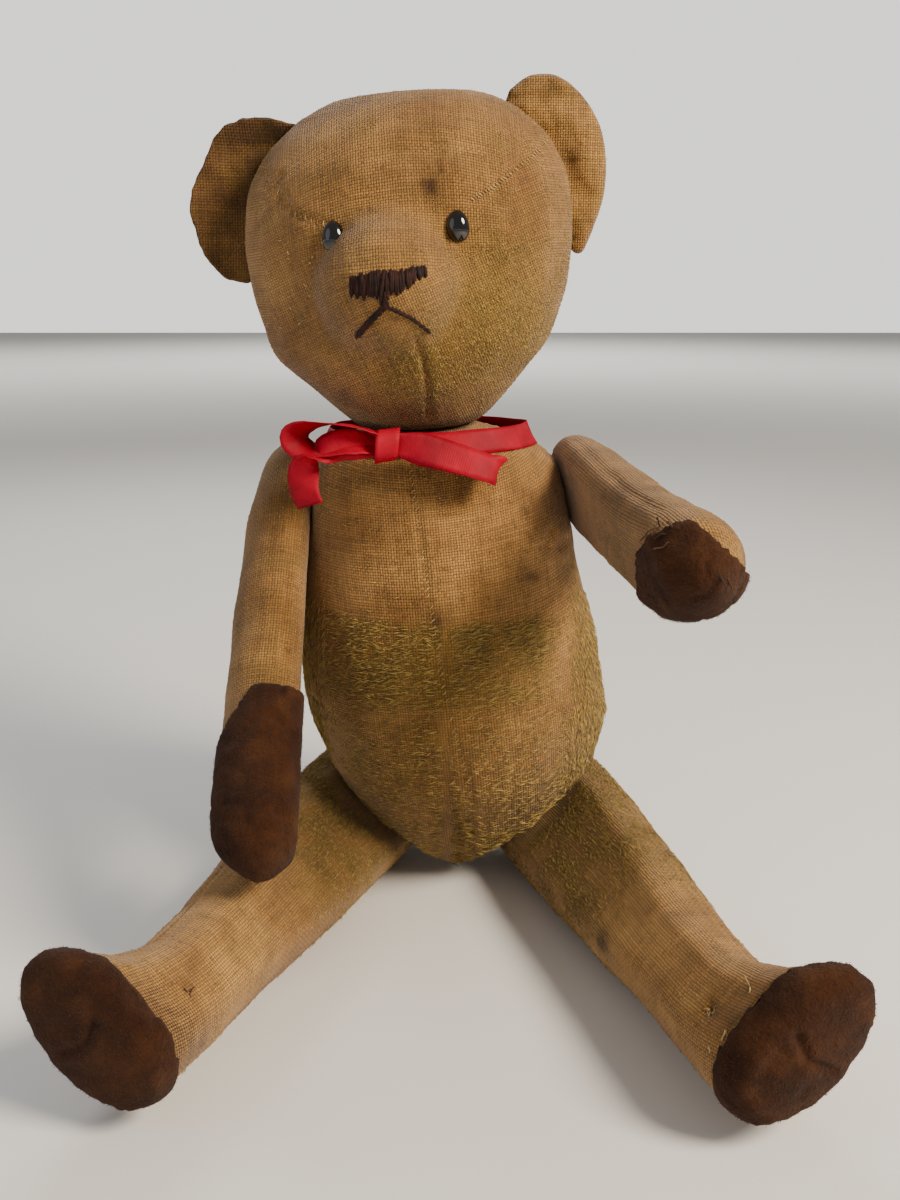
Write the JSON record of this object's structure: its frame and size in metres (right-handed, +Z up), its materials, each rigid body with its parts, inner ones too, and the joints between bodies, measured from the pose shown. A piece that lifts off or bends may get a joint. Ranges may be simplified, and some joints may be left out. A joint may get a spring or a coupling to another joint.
{
  "type": "threadbare teddy bear",
  "caption": "Old stuffed toy bear with worn cloth covers, felt paws and soles, glass eyes and a neck ribbon; head, arms and legs turn on hidden disc joints.",
  "frame": {"origin": "on the surface that the bear sits on, at the middle of its base", "axes": "+Z up, the bear faces -Y, its own left side at +X"},
  "size_m": [0.2712, 0.2565, 0.3442],
  "materials": {
    "worn_cloth": "worn plain-weave mohair backing, pile rubbed away",
    "wood_wool": "packed fine wood shavings",
    "felt": "worn wool felt",
    "eye_glass": "black, polished",
    "floss": "twisted cotton floss",
    "ribbon_satin": "woven satin ribbon",
    "hardboard": "pressed board",
    "steel": "dull, slightly rusted"
  },
  "bodies": {
    "torso": {"arm_left_pin": "steel", "arm_left_torso_disc": "hardboard", "arm_left_torso_washer": "steel", "arm_right_pin": "steel", "arm_right_torso_disc": "hardboard", "arm_right_torso_washer": "steel", "leg_left_pin": "steel", "leg_left_torso_disc": "hardboard", "leg_left_torso_washer": "steel", "leg_right_pin": "steel", "leg_right_torso_disc": "hardboard", "leg_right_torso_washer": "steel", "neck_pin": "steel", "neck_torso_disc": "hardboard", "neck_torso_washer": "steel", "ribbon": "ribbon_satin", "torso_cover": "worn_cloth", "torso_stuffing": "wood_wool"},
    "head": {"ear_left": "worn_cloth", "ear_right": "worn_cloth", "eye_left": "eye_glass", "eye_right": "eye_glass", "head_cover": "worn_cloth", "head_stuffing": "wood_wool", "mouth_stitching": "floss", "neck_disc": "hardboard", "neck_washer": "steel", "nose_stitching": "floss"},
    "arm_left": {"arm_left_cover": "worn_cloth", "arm_left_disc": "hardboard", "arm_left_stuffing": "wood_wool", "arm_left_washer": "steel", "paw_pad_left": "felt"},
    "arm_right": {"arm_right_cover": "worn_cloth", "arm_right_disc": "hardboard", "arm_right_stuffing": "wood_wool", "arm_right_washer": "steel", "paw_pad_right": "felt"},
    "leg_left": {"foot_pad_left": "felt", "leg_left_cover": "worn_cloth", "leg_left_disc": "hardboard", "leg_left_stuffing": "wood_wool", "leg_left_washer": "steel"},
    "leg_right": {"foot_pad_right": "felt", "leg_right_cover": "worn_cloth", "leg_right_disc": "hardboard", "leg_right_stuffing": "wood_wool", "leg_right_washer": "steel"}
  },
  "joints": [
    {"name": "neck_turn", "type": "hinge", "parent": "torso", "child": "head", "pos_m": [-0.0063, 0.0671, 0.2085], "axis": [-0.0698, -0.0199, 0.9974], "continuous": true},
    {"name": "shoulder_left_turn", "type": "hinge", "parent": "torso", "child": "arm_left", "pos_m": [0.0497, 0.0691, 0.181], "axis": [0.9742, 0.101, 0.2019], "range_deg": [-48, 45]},
    {"name": "shoulder_right_turn", "type": "hinge", "parent": "torso", "child": "arm_right", "pos_m": [-0.0583, 0.0691, 0.177], "axis": [-0.9829, -0.1397, 0.1197], "range_deg": [0, 28]},
    {"name": "hip_left_turn", "type": "hinge", "parent": "torso", "child": "leg_left", "pos_m": [0.0357, 0.0841, 0.0386], "axis": [0.705, 0.1866, -0.6842], "range_deg": [-150, 150]},
    {"name": "hip_right_turn", "type": "hinge", "parent": "torso", "child": "leg_right", "pos_m": [-0.0253, 0.0871, 0.0386], "axis": [-0.699, 0.2261, -0.6784], "range_deg": [-150, 150]}
  ]
}
